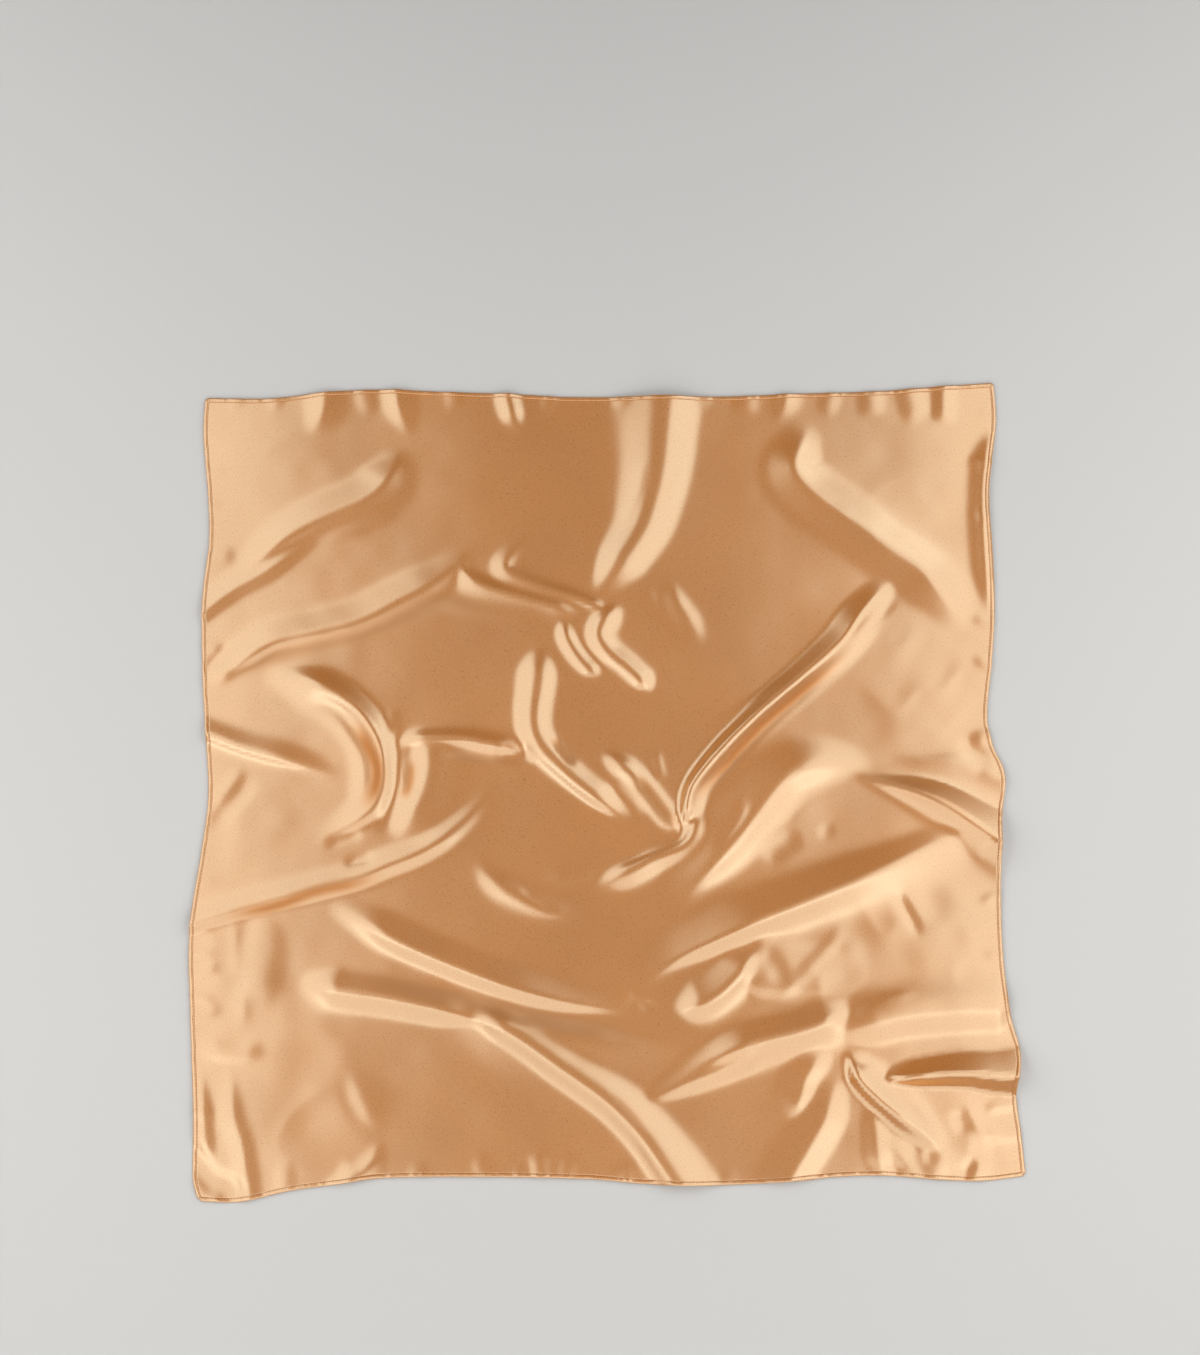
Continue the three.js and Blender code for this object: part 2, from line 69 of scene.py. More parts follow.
# Each fold: name, height in mm, widths of its left and right flanks (start, end), the shares of a
# flank over which it rounds off at the crest and eases out at its left and right foot, the shares of
# the path over which it rises and falls, and the crest's path. Widths and paths are in hundredths.
folds = [
    # back left
    ("upperLeftLong", 4.6, (3.8, 4.6), (1.8, 5.4), (0.1, 0.4, 0.8), (0.3, 0.2),
     [(-46.5, 25), (-43, 27.6), (-40, 30), (-36, 32.5), (-30, 35.2), (-27.4, 37.3), (-26, 39.8),
      (-25.4, 42.6)]),
    ("upperLeftShort", 3, (3, 3), (1.8, 2), (0.12, 0.4, 0.7), (0, 0.48),
     [(-50, 20.6), (-46, 23.7), (-42, 26), (-38, 28.8), (-34.5, 30.8)]),
    ("leftSweep", 4.8, (3.8, 4.2), (2, 3.4), (0.1, 0.4, 0.7), (0.2, 0.25),
     [(-48.5, 11), (-46, 13.6), (-43, 15.8), (-40, 17.3), (-35, 18.4), (-30, 19.8), (-25, 22.4),
      (-20, 25.2), (-15.6, 29.4)]),
    ("leftSweepTail", 3.6, (1.4, 1.9), (3.6, 2.6), (0.1, 0.5, 0.8), (0.25, 0.2),
     [(-17.8, 28.8), (-17, 26.2), (-14.8, 24.4), (-10, 22.9), (-6, 21.8), (-2, 20.4)]),
    ("creaseAboveTail", 3, (2.4, 1.4), (3.2, 0.9), (0.1, 0.7, 0.4), (0.33, 0.12),
     [(-8.6, 30.4), (-11.2, 28.2), (-11.8, 26.4), (-8.6, 24.6), (-3, 22.7), (1.4, 21)]),
    ("backPuckerLeft", 2.6, (4.4, 4), (3.4, 3), (0.1, 0.8, 0.5), (0, 0.6),
     [(-35, 51), (-35.2, 47), (-37, 43.5)]),
    ("backPuckerMiddle", 2.2, (3.6, 3.4), (2.6, 2.4), (0.15, 0.8, 0.7), (0, 0.6),
     [(-26, 51), (-25.6, 47.6), (-23.8, 43.4)]),
    # back middle
    ("topMiddle", 6.4, (5.4, 3.8), (9.5, 2.6), (0.3, 0.4, 0.5), (0, 0.22),
     [(8.6, 50.5), (8, 44), (7.6, 40), (6.8, 36), (5.5, 32), (3.3, 28.5), (1.2, 25.7), (-1, 22.6)]),
    ("prong", 3.2, (1.6, 1.6), (1.7, 1.6), (0.36, 0.5, 0.5), (0.3, 0.2),
     [(-4.8, 20.6), (-4.2, 17.8), (-3, 15.6), (-1.4, 13.8), (0.4, 12.6)]),
    ("prongBlob", 4.4, (3.4, 2.4), (2.4, 2), (0.3, 0.7, 0.7), (0.23, 0.14),
     [(3, 22), (0.4, 19.8), (-0.2, 17.8), (1, 15.8), (3.4, 13.8), (6.6, 10.8)]),
    ("backStreak", 2.2, (1.8, 3), (3.6, 4), (0.2, 0.7, 0.7), (0.38, 0.48),
     [(8.6, 25.5), (9.8, 22), (11.6, 19), (12.8, 16)]),
    ("backPuckerCentre", 2, (2.4, 2), (2.6, 2.2), (0.3, 0.7, 0.7), (0, 0.5),
     [(-12.2, 51), (-11.4, 47.4), (-9.6, 43.5)]),
    # back right
    ("upperRight", 6.4, (4.4, 5), (5.4, 5), (0.1, 0.4, 0.5), (0.2, 0.24),
     [(27, 45.6), (25.2, 42.2), (24.6, 39.2), (26.6, 36.4), (30, 33.7), (33, 31.6), (36, 29.2),
      (40, 26.4), (43, 23), (46, 18.4)]),
    ("backPuckerRight", 1.8, (3, 2.8), (2.6, 2.4), (0.2, 0.8, 0.8), (0, 0.6),
     [(23.8, 51), (23.4, 48), (22, 45.4)]),
    ("rightEdgeCurl", 3.2, (1.4, 1.2), (3, 2.6), (0.2, 0.5, 0.8), (0.2, 0.28),
     [(50, 45), (49.2, 41.6), (48.6, 37), (48.5, 30), (49, 20)]),
    # middle right
    ("longDiagonal", 9, (3.6, 3.2), (3.4, 0.8), (0.1, 0.7, 0.2), (0.23, 0.08),
     [(37.4, 26), (33, 21), (30, 17), (25, 12.5), (20, 8.3), (15, 3.5), (11.5, -0.8), (10.6, -4),
      (10.6, -7)]),
    ("diagonalHook", 4.8, (2.6, 3.4), (2.2, 2.6), (0.2, 0.5, 0.7), (0.23, 0.28),
     [(12.2, -3), (11.8, -6.4), (10.4, -8.4), (7, -9.8), (4, -11.4), (-1, -13.8)]),
    ("middleRightArc", 7, (4.4, 3.6), (4, 10), (0.15, 0.6, 0.5), (0.28, 0.33),
     [(34, 1.2), (30, 1.9), (26, 1.4), (23, -0.2), (20, -3.8), (17, -7.6), (13, -11.8), (8.5, -16.4)]),
    ("rightEdgeShelf", 10.5, (1.4, 4.8), (2, 5.6), (0.06, 0.15, 0.9), (0.55, 0),
     [(30.2, 0.8), (32, 0.3), (36, -0.9), (40, -2.3), (43, -3.8), (46, -5.8), (51.5, -9.6)]),
    ("rightEdgeUpper", 2.4, (0.9, 2.6), (2.4, 3), (0.2, 0.3, 0.7), (0.55, 0),
     [(36, 2.6), (40, 2.1), (44, 1.9), (47, 1.2), (50.4, -0.4)]),
    # front right
    ("lowerRightLong", 9, (7, 3), (1.8, 9), (0.06, 0.4, 0.8), (0.34, 0.42),
     [(4.6, -27), (6.2, -24.8), (10, -22.2), (15, -19.8), (20, -17.6), (25, -15.6), (35, -11.4),
      (42, -8), (51, -4.6)]),
    ("lowerRightSlope", 2.8, (14, 14), (5, 5), (0.3, 0.5, 0.8), (0.3, 0.3),
     [(20.5, -18.5), (20, -23), (19.6, -28)]),
    ("lowerRightShelf", 7.6, (3.4, 3.4), (4.4, 5), (0.06, 0.3, 0.7), (0.4, 0.2),
     [(9, -36.4), (13, -34.8), (17, -33.2), (21, -32), (25, -31), (28, -29.8), (31.5, -28)]),
    ("lowerRightRoll", 6, (4.4, 5.4), (4.2, 4.8), (0.3, 0.6, 0.4), (0.3, 0.1),
     [(27, -32.2), (31, -30.4), (36, -28.9), (41, -28.2), (47, -27.8), (51, -28)]),
    ("lowerRightNip", 2.6, (1.8, 1.8), (1.8, 1.8), (0.1, 0.6, 0.6), (0.43, 0.43),
     [(32, -28.8), (35, -27.4), (40, -26.4)]),
    ("lowerRightEdge", 12.5, (1.4, 4.4), (0.8, 2.6), (0.05, 0.15, 0.15), (0.3, 0),
     [(33, -37.6), (36, -37), (41, -36.5), (45, -36.4), (48.6, -36.7), (52, -36.6)]),
    ("cornerSpike", 9.6, (4.4, 4.2), (0.9, 2), (0.08, 0.6, 0.05), (0.22, 0.4),
     [(30, -33.4), (31.2, -36.8), (33.6, -39.4), (36.6, -41.8), (41.5, -45.6)]),
    ("cornerRayLeft", 3.6, (2.8, 3), (4.8, 5.4), (0.1, 0.3, 0.6), (0.33, 0),
     [(29, -36), (28.2, -39), (27.2, -42), (25.4, -45), (23, -49), (22, -52)]),
    ("cornerRayRight", 1.6, (2.4, 2.4), (1.8, 2), (0.2, 0.6, 0.5), (0.33, 0.28),
     [(32.6, -39.6), (33.2, -43), (33.4, -48.4)]),
    ("zigzag", 2.8, (2.2, 2), (4.4, 4.4), (0.12, 0.5, 0.6), (0.33, 0.3),
     [(28.4, -33), (26.2, -35.2), (24.9, -37.2), (24.4, -39), (22.4, -42.4)]),
    # front middle
    ("lowerMiddleHump", 6, (4.6, 4.6), (4, 3), (0.12, 0.5, 0.8), (0.28, 0.33),
     [(8.4, -28.6), (12, -28), (14.4, -26.8), (16.6, -24.8), (18.2, -22.6), (19.8, -20)]),
    ("lowerMiddleStep", 3.4, (2.4, 2.2), (9, 10), (0.1, 0.5, 0.9), (0.3, 0.4),
     [(-20, -29), (-14, -30), (-8, -31), (-2, -32), (4, -32.8), (11, -33.4)]),
    ("lowerStreak", 3.8, (3.2, 3.2), (2.2, 2.6), (0.12, 0.5, 0.7), (0.48, 0.23),
     [(4, -40.4), (10, -37.7), (15, -35.8), (18.4, -34.3), (21.4, -32)]),
    ("lowerStreakUpper", 2.6, (4, 4), (1.2, 1.2), (0.12, 0.6, 0.4), (0.48, 0.28),
     [(6, -39.2), (10.6, -36.8), (15, -34.4), (18, -32.6), (21, -30.4)]),
    ("frontDiagonal", 6.8, (2.8, 5.8), (2.6, 3.2), (0.34, 0.5, 0.7), (0.2, 0),
     [(-18, -27.8), (-13, -30.2), (-9, -32.6), (-5, -35.4), (0, -38.8), (3, -41.4), (6, -44.8),
      (10.2, -51)]),
    # front left
    ("lowerLeftUpper", 6, (3.4, 3.4), (2.8, 1.8), (0.06, 0.3, 0.5), (0.2, 0.4),
     [(-33.5, -15.6), (-29, -17.9), (-25, -20.2), (-20, -22.4), (-15, -24.4), (-10, -26.1), (-4, -27.6),
      (6, -29)]),
    ("lowerLeftLower", 6.6, (3.2, 3), (4.2, 2.4), (0.08, 0.3, 0.7), (0.18, 0.33),
     [(-36.6, -24.8), (-32, -26.2), (-27, -27), (-22, -28), (-17, -29.2), (-12, -30.8)]),
    ("lowerLeftPost", 1.2, (4.6, 4.2), (3.8, 3.6), (0.6, 0.6, 0.6), (0.43, 0.43),
     [(-41, -16), (-41.5, -22), (-42, -30)]),
    ("frontLeftRim", 1.6, (1.8, 2), (2, 2), (0.25, 0.7, 0.7), (0.38, 0.38),
     [(-48.6, -35.6), (-48.2, -41), (-47.6, -45.6), (-46.4, -48.4)]),
    ("frontLeftRay", 1.7, (2.4, 2.2), (1.8, 2.2), (0.2, 0.8, 0.6), (0.43, 0),
     [(-45, -35), (-44.6, -41), (-43.2, -45.6), (-42.2, -52)]),
    ("frontLeftEdge", 2.4, (2.6, 2.6), (2.2, 2.8), (0.15, 0.7, 0.8), (0.18, 0.48),
     [(-33, -51.4), (-30, -49.2), (-27.4, -46.8), (-26.6, -43.8)]),
    ("frontLeftEdgeUpper", 1.1, (5, 4), (2.4, 2.4), (0.2, 0.7, 0.7), (0.48, 0.38),
     [(-30.6, -35), (-29, -39), (-26.4, -43.6)]),
    # middle left
    ("leftArc", 7.8, (3.6, 2.2), (4.6, 5), (0.12, 0.5, 0.6), (0.23, 0.43),
     [(-42, 13), (-37, 12.2), (-33, 10.4), (-30, 7.9), (-28, 5.2), (-27, 2), (-27.2, -1.2), (-29, -4.6),
      (-35.5, -8.4)]),
    ("leftArcBlade", 3.4, (7, 6), (3, 2.6), (0.2, 0.7, 0.5), (0.2, 0.33),
     [(-22.4, 5.6), (-21.2, 2.4), (-21.6, -1), (-23, -4.4), (-25.2, -8.4)]),
    ("middleBridge", 4.4, (2.4, 2.4), (2, 2), (0.12, 0.7, 0.7), (0.23, 0.23),
     [(-25.6, 3.6), (-23, 4.7), (-18, 4.9), (-13, 4.1), (-8.4, 2.6)]),
    ("leftEdgeRidge", 4.2, (2.6, 3.2), (1.7, 1.5), (0.1, 0.4, 0.6), (0, 0.48),
     [(-50.5, 6.2), (-47, 4.7), (-44, 3.6), (-40, 2.5), (-36, 1.4), (-32, 0)]),
    ("leftDiagonal", 4.6, (3.2, 3), (1.2, 3), (0.12, 0.5, 0.6), (0, 0.24),
     [(-52, -19), (-45, -16.7), (-40, -15.3), (-35, -14), (-30, -12.6), (-26, -10.9), (-22, -9.2),
      (-18, -6.6), (-15, -3.6), (-13.4, -0.6)]),
    # middle
    ("middleLeft", 5, (3.6, 3), (3.8, 0.9), (0.4, 0.6, 0.6), (0.16, 0.2),
     [(-7.3, 17), (-7.9, 12), (-8.4, 8.5), (-8.3, 6), (-7.2, 3.6), (-5, 1.3), (-2.5, -1), (0, -3),
      (3.4, -5.8)]),
    ("middleWedge", 4.4, (2.8, 2.2), (2.8, 2.2), (0.2, 0.7, 0.7), (0.28, 0.18),
     [(-0.4, 3.4), (3, 1.2), (5, -0.8), (6.7, -3), (8.3, -5), (10.2, -7)]),
    ("middleLowArc", 3.4, (3, 2.6), (3.2, 3), (0.2, 0.7, 0.7), (0.38, 0.48),
     [(-15.5, -9.5), (-13.6, -12.4), (-11, -14.2), (-7, -16), (-1, -17.5)]),
]

# the cloth also rises a little all round its folds: a share of their heights, blurred over a reach
# and summed up to a cut, on a map that runs from the middle out to its edge, in hundredths
spread = {"share": 0.4, "reach": 3.2, "cut": 12, "edge": 60}
# how narrow a fold gets where it has faded away, as a share of its width
taper = 0.55

# finer ridges, and grooves where the height is negative: height in mm, width of a side, path; each
# rises and falls over this share of its path
creaseEnd = 0.3
creases = [
    # back left
    (-0.9, 1.1, [(-50, 12), (-48.4, 14.4), (-46, 17)]),
    (0.7, 1.2, [(-36, 30), (-31, 31.6), (-25, 34)]),
    (0.7, 1.4, [(-22, 22.4), (-17, 21.4), (-12, 20.6), (-6, 20)]),
    # back middle
    (0.5, 1.6, [(-1, 14.8), (2, 12.6), (5, 10.4)]),
    (0.6, 1, [(5.8, 24.5), (6.8, 21.5), (8.4, 19)]),
    (0.5, 0.9, [(10.4, 42), (9.6, 37), (7.6, 31.6)]),
    (0.4, 0.8, [(5.6, 41), (4.6, 36), (2.4, 31)]),
    # middle right
    (-2.4, 1.2, [(31, 15.5), (25, 10.7), (20, 6.3), (15, 0.8), (12, -2.4), (11.3, -5.4)]),
    (0.7, 0.9, [(13.6, 5.4), (17.6, 8.6), (24, 13)]),
    (-0.8, 1, [(31, 16.6), (34, 19.8), (37.5, 23)]),
    (-1.4, 0.8, [(8.2, -3.4), (9.6, -5.2), (10.3, -6.9), (9.6, -8), (7.8, -8.9), (5, -9.7),
                 (1, -11.4)]),
    (0.9, 0.9, [(7, 3.6), (7.2, 1.6), (7.8, -0.4)]),
    (-0.8, 1.8, [(20, -10.4), (22.4, -8.6), (25, -7.2)]),
    (-0.5, 1.2, [(27, -7), (29, -6.4)]),
    (-0.9, 1.1, [(17.6, -2), (17.2, -5), (14, -9.4)]),
    (-1, 1.8, [(45.4, 5.6), (46.4, 3), (48.4, 0.6)]),
    # front right
    (-0.9, 0.9, [(36, -13.4), (37.6, -16.4), (39.4, -20)]),
    (-0.6, 1.6, [(19.5, -21.5), (21.6, -23.4), (22, -26)]),
    (0.5, 1.2, [(24, -25), (28, -21), (30, -18)]),
    (-0.8, 1.3, [(43, -40.6), (44.4, -43.6)]),
    (0.6, 1, [(44, -39), (46, -43), (47, -47)]),
    (-0.8, 1.2, [(34.6, -46.6), (36.6, -48.4)]),
    (-0.9, 1, [(43.6, -48.6), (45.4, -46.4)]),
    (0.6, 0.9, [(39.6, -43), (39, -46.4), (40.6, -49)]),
    # front middle
    (-1, 1, [(3, -27.2), (5, -28), (7.4, -28.4)]),
    (0.7, 0.7, [(2, -26.2), (4, -27.4), (5.4, -29)]),
    # front left
    (1.3, 1.7, [(-49, -32.8), (-46.4, -33.6), (-43.4, -33.8), (-40.6, -33)]),
    (-2.2, 2, [(-51, -43.6), (-48.6, -46.8), (-46, -49.4), (-42, -51.4)]),
    # middle left
    (-3.4, 1.7, [(-36.5, 10.4), (-32, 8.2), (-29.6, 5.3), (-28.2, 2.4), (-27.9, -0.6), (-28.8, -3.4),
                 (-30, -5)]),
    (-2, 1.4, [(-25.8, 5), (-25.6, 1), (-25.6, -3), (-27, -7.6)]),
    (0.8, 1.1, [(-26.2, 8.8), (-25.7, 6.6), (-25.8, 4.2)]),
    (-0.8, 0.7, [(-23.4, 1.4), (-23.8, -1), (-24.4, -3)]),
    (-0.8, 1.2, [(-34, -8.4), (-31.6, -7.4), (-29.2, -6.8)]),
    (-1, 0.9, [(-31.6, -10.8), (-29.6, -10.2), (-27.6, -10)]),
    (-0.8, 0.7, [(-20, 2.8), (-16, 2.6), (-12, 2)]),
    (-2.6, 1.5, [(-13, 3.4), (-10.6, 2.9), (-8, 3.2)]),
    (-0.8, 1.5, [(-42.6, 0.2), (-45, -2.8), (-48.4, -6.8)]),
    (0.6, 1.2, [(-44, 1.4), (-46, -1), (-48, -3.6)]),
    # middle
    (-1.6, 0.8, [(-5.8, 5.4), (-4.6, 3.2), (-3, 1.4)]),
    (-2, 0.9, [(4, 0.4), (6.5, -2.6), (8, -4.6), (9.6, -6.5)]),
    (-1, 1.1, [(0.6, -0.6), (3, -2.8), (5.4, -5.4)]),
    (0.8, 1.4, [(-7, -11.6), (-4, -12.4), (0, -11.2)]),
    (-0.8, 0.8, [(-10, -13.6), (-7.4, -15.4), (-5, -16.4)]),
]

# small puckers that the hem's stitching draws in: place along the edge, height in mm, width of a
# side and length, in hundredths
puckers = {
    "back": [(-46, 0.4, 1.4, 2), (-41.4, 0.6, 1.4, 2), (-30, 0.6, 1.6, 2.4), (-18.6, 0.5, 1.5, 2.4),
             (-11.6, 1.4, 2, 4), (-6.4, 0.8, 1.4, 2.6), (2.6, 0.7, 1.6, 2), (13, 0.5, 1.4, 2),
             (18.6, 0.9, 2, 3), (29.4, 0.7, 1.6, 2.6), (34.4, 1, 2, 3.2), (39.4, 1.1, 2.2, 3.4),
             (43.8, 2, 1.7, 4)],
    "front": [(-46, 0.6, 1.2, 2.4), (-38, 0.5, 1.6, 2.6), (-30.6, 0.6, 1.6, 2.6), (-22, 0.5, 1.5, 2.6),
              (-13.8, 0.8, 1.5, 3.2), (-10, 0.6, 1.1, 2.2), (-7, 1.2, 1.6, 4), (-4.2, 0.9, 1.5, 3.2),
              (1.4, 0.5, 0.9, 1.8), (3.4, 0.7, 0.9, 2.4), (15.6, 0.3, 1.3, 2), (33.6, 0.8, 1.6, 3),
              (40.6, 1.1, 1.6, 3.4), (45.4, 1.2, 1.5, 3)],
    "left": [(-41, 0.6, 1.2, 2.6), (-29.4, 0.7, 1.1, 3), (-27, 0.5, 0.9, 2.2), (-24.2, 0.6, 0.9, 2.4),
             (-21.6, 0.5, 0.8, 2), (-19, 0.5, 0.8, 2), (-12.8, 0.3, 1, 2.4), (13, 1, 1.3, 3.4),
             (16.6, 0.5, 1, 2.2), (27.6, 0.9, 1.8, 3.4), (34.6, 0.3, 0.8, 1.6), (38.6, 0.3, 0.8, 1.6)],
    "right": [(-43.6, 1.1, 1.3, 3), (-40, 1, 1, 2.6), (-22, 0.6, 1, 2.4), (-14.6, 0.8, 0.9, 2.4),
              (-8.4, 1, 0.8, 2.4), (5.4, 1.4, 1.3, 3.4), (14, 0.9, 1, 2.4), (19.6, 0.9, 1.1, 2.6),
              (33, 0.7, 1, 2.2), (40, 0.8, 1, 2.4)],
}
# a pucker's path comes in from outside the hem to its root, in hundredths, and then leans over, first
# a share of its lean at a share of its length
puckerPath = {"outside": 52, "hem": 49.4, "root": 49, "bend": 0.6, "bendLean": 0.4, "lean": 1.6}
turnTo = {
    "back": lambda a, b: (a, b),
    "front": lambda a, b: (a, -b),
    "left": lambda a, b: (-b, a),
    "right": lambda a, b: (b, a),
}
for edge, rows in puckers.items():
    for at, height, width, length in rows:
        lean = puckerPath["lean"] * math.sin(at)
        inward = [
            (at, puckerPath["outside"]),
            (at, puckerPath["hem"]),
            (at + puckerPath["bendLean"] * lean, puckerPath["root"] - length * puckerPath["bend"]),
            (at + lean, puckerPath["root"] - length)]
        creases.append((height, width, [turnTo[edge](a, b) for a, b in inward]))

# patches of faint wrinkles: middle, reach across and along, height in mm, size of a wrinkle in
# hundredths, its direction in degrees, seed
crumples = [
    ((39, 11), (9, 10), 0.8, 3.4, 55, 11),
    ((39, -19), (12, 9), 0.9, 3.4, 115, 12),
    ((40, -43), (12, 8), 1.8, 3.6, 120, 13),
    ((25, -23), (9, 6), 0.9, 3, 50, 17),
    ((22, -6), (7, 6), 0.4, 3, 40, 18),
    ((-38, -38), (14, 13), 0.8, 4.4, 60, 14),
    ((-44, -24), (7, 9), 0.9, 3.4, 95, 15),
    ((-44, -6), (7, 8), 0.4, 3.4, 60, 16),
    ((-40, 38), (10, 10), 0.3, 4, 30, 19),
    ((36, 36), (10, 9), 0.3, 4, 40, 20),
]
# how much longer than wide a wrinkle is, and how soon it fades towards the rim of its patch
wrinkle = {"stretch": 1.8, "fade": 1.5}

# how the cloth lies off the surface between its folds: size in hundredths, height in mm, seed
clouds = [(14, 0.7, 3), (6, 0.26, 8), (2.6, 0.1, 5)]
latticeCells = 128
# over how many mm the cloth eases out where a groove would take it into the surface
softest = 0.3


def smooth(share):
    s = np.clip(share, 0, 1)
    return s * s * (3 - 2 * s)


def splineThrough(points, steps):
    # a smooth curve through every point, steps stretches between two of them
    p = np.array(points, float)
    p = np.vstack([p[:1], p, p[-1:]])
    t = np.linspace(0, 1, steps, endpoint=False)[:, None]
    parts = []
    for a, b, c, d in zip(p, p[1:], p[2:], p[3:]):
        parts.append(b + 0.5 * t * (c - a + t * (2 * a - 5 * b + 4 * c - d + t * (3 * (b - c) + d - a))))
    return np.vstack([*parts, p[-1:]])


def swingAt(edge, share):
    curve = splineThrough(edgeSwing[edge], curveSteps["edge"])
    return np.interp(share * 100, curve[:, 0], curve[:, 1]) / 100 * scarf["side"]


def placeAt(across, along):
    # a place on the scarf from its shares across (left to right) and along (front to back)
    left, right = swingAt("left", along), swingAt("right", along)
    front, back = swingAt("front", across), swingAt("back", across)
    x = (across - 0.5) * scarf["side"] - (1 - across) * left + across * right
    y = (along - 0.5) * scarf["side"] - (1 - along) * front + along * back
    return x, y


def inHundredths(x, y):
    return x / scarf["side"] * 100, y / scarf["side"] * 100


# the middle of the outline's box goes to the middle of the frame
edgeShares = np.linspace(0, 1, 401)
near, far = np.zeros_like(edgeShares), np.ones_like(edgeShares)
outlineX, outlineY = np.hstack([
    placeAt(edgeShares, near), placeAt(edgeShares, far),
    placeAt(near, edgeShares), placeAt(far, edgeShares)])
middleX = (outlineX.min() + outlineX.max()) / 2
middleY = (outlineY.min() + outlineY.max()) / 2


def eased(v, width):
    # what a slope adds up to that grows smoothly from nothing to one over a width
    inside = np.clip(v, 0, width)
    return inside ** 3 / width ** 2 - inside ** 4 / (2 * width ** 3) + np.maximum(v - width, 0)


def nearestOn(line, px, py):
    # distance to a line, the share of the line walked there, and the side (plus is left)
    best = np.full(px.shape, np.inf)
    share = np.zeros_like(px)
    turn = np.zeros_like(px)
    lengths = np.linalg.norm(np.diff(line, axis=0), axis=1)
    walked = np.concatenate([[0], np.cumsum(lengths)])
    for i, (start, step) in enumerate(zip(line, np.diff(line, axis=0))):
        fx, fy = px - start[0], py - start[1]
        along = np.clip((fx * step[0] + fy * step[1]) / lengths[i] ** 2, 0, 1)
        distance = np.hypot(fx - along * step[0], fy - along * step[1])
        closer = distance < best
        best[closer] = distance[closer]
        share[closer] = ((walked[i] + along * lengths[i]) / walked[-1])[closer]
        turn[closer] = (step[0] * fy - step[1] * fx)[closer]
    return best, share, turn


def closeTo(line, reach, x, y):
    # which places lie within the box round a line, widened by a reach
    low, high = line.min(0) - reach, line.max(0) + reach
    return (x > low[0]) & (x < high[0]) & (y > low[1]) & (y < high[1])


def partWay(span, share):
    return span[0] + (span[1] - span[0]) * share


def foldLift(fold, x, y):
    # the height that one fold gives to places x and y, in hundredths of the side
    height, left, right, (blunt, *feet), (rise, fall), path = fold[1:]
    crest = splineThrough(path, curveSteps["fold"])
    close = closeTo(crest, max(*left, *right), x, y)
    best, share, turn = nearestOn(crest, x[close], y[close])
    ends = np.ones_like(share)
    if rise > 0:
        ends = ends * smooth(share / rise)
    if fall > 0:
        ends = ends * smooth((1 - share) / fall)
    width = np.where(turn > 0, partWay(left, share), partWay(right, share))
    width = width * (taper + (1 - taper) * ends)
    out = np.minimum(best / width, 1)
    foot = np.where(turn > 0, feet[0], feet[1])
    fallen = (eased(out, blunt) - eased(out - 1 + foot, foot)) / (1 - blunt / 2 - foot / 2)
    lift = np.zeros_like(x)
    lift[close] = height * ends * (1 - fallen)
    return lift


def foldsLift(x, y):
    # where folds meet, the cloth rises a little over the taller one, not by the sum of both
    return np.sqrt(sum(foldLift(fold, x, y) ** 2 for fold in folds))


def blurredFolds():
    # a map of the folds' heights, one place in each hundredth, blurred along and across
    places = np.arange(-spread["edge"], spread["edge"] + 1.0)
    offsets = np.arange(-spread["cut"], spread["cut"] + 1)
    weights = np.exp(-0.5 * (offsets / spread["reach"]) ** 2)
    weights /= weights.sum()
    heights = foldsLift(*np.meshgrid(places, places))
    for axis in (0, 1):
        heights = np.apply_along_axis(np.convolve, axis, heights, weights, "same")
    return heights * spread["share"]


spreadMap = blurredFolds()


def readLattice(lattice, ix, iy, shareX, shareY):
    # heights between the places of a lattice, from a cell and the shares walked across it
    lower = lattice[iy, ix] * (1 - shareX) + lattice[iy, ix + 1] * shareX
    upper = lattice[iy + 1, ix] * (1 - shareX) + lattice[iy + 1, ix + 1] * shareX
    return lower * (1 - shareY) + upper * shareY


def spreadAt(x, y):
    gx, gy = x + spread["edge"], y + spread["edge"]
    ix, iy = np.floor(gx).astype(int), np.floor(gy).astype(int)
    return readLattice(spreadMap, ix, iy, gx - ix, gy - iy)


def creaseLift(crease, x, y):
    height, width, path = crease
    line = splineThrough(path, curveSteps["crease"])
    close = closeTo(line, width, x, y)
    best, share = nearestOn(line, x[close], y[close])[:2]
    ends = smooth(share / creaseEnd) * smooth((1 - share) / creaseEnd)
    lift = np.zeros_like(x)
    lift[close] = height * np.maximum(1 - (best / width) ** 2, 0) ** 2 * ends
    return lift


def cloudAt(x, y, size, seed):
    # smooth random heights between -1 and 1 over a lattice of the given size, in hundredths
    lattice = np.random.default_rng(seed).uniform(-1, 1, (latticeCells, latticeCells))
    gx, gy = x / size + latticeCells // 2, y / size + latticeCells // 2
    floorX, floorY = np.floor(gx), np.floor(gy)
    ix = floorX.astype(int) % (latticeCells - 1)
    iy = floorY.astype(int) % (latticeCells - 1)
    return readLattice(lattice, ix, iy, smooth(gx - floorX), smooth(gy - floorY))


def crumpleLift(crumple, x, y):
    # wrinkles with sharp little ridges that die out towards the rim of their patch
    (midX, midY), (reachX, reachY), height, size, turn, seed = crumple
    c, s = math.cos(math.radians(turn)), math.sin(math.radians(turn))
    along, across = c * x + s * y, c * y - s * x
    rim = np.hypot((x - midX) / reachX, (y - midY) / reachY)
    ridges = 1 - np.abs(cloudAt(along / wrinkle["stretch"], across, size, seed))
    return height * ridges * smooth(wrinkle["fade"] - wrinkle["fade"] * rim)


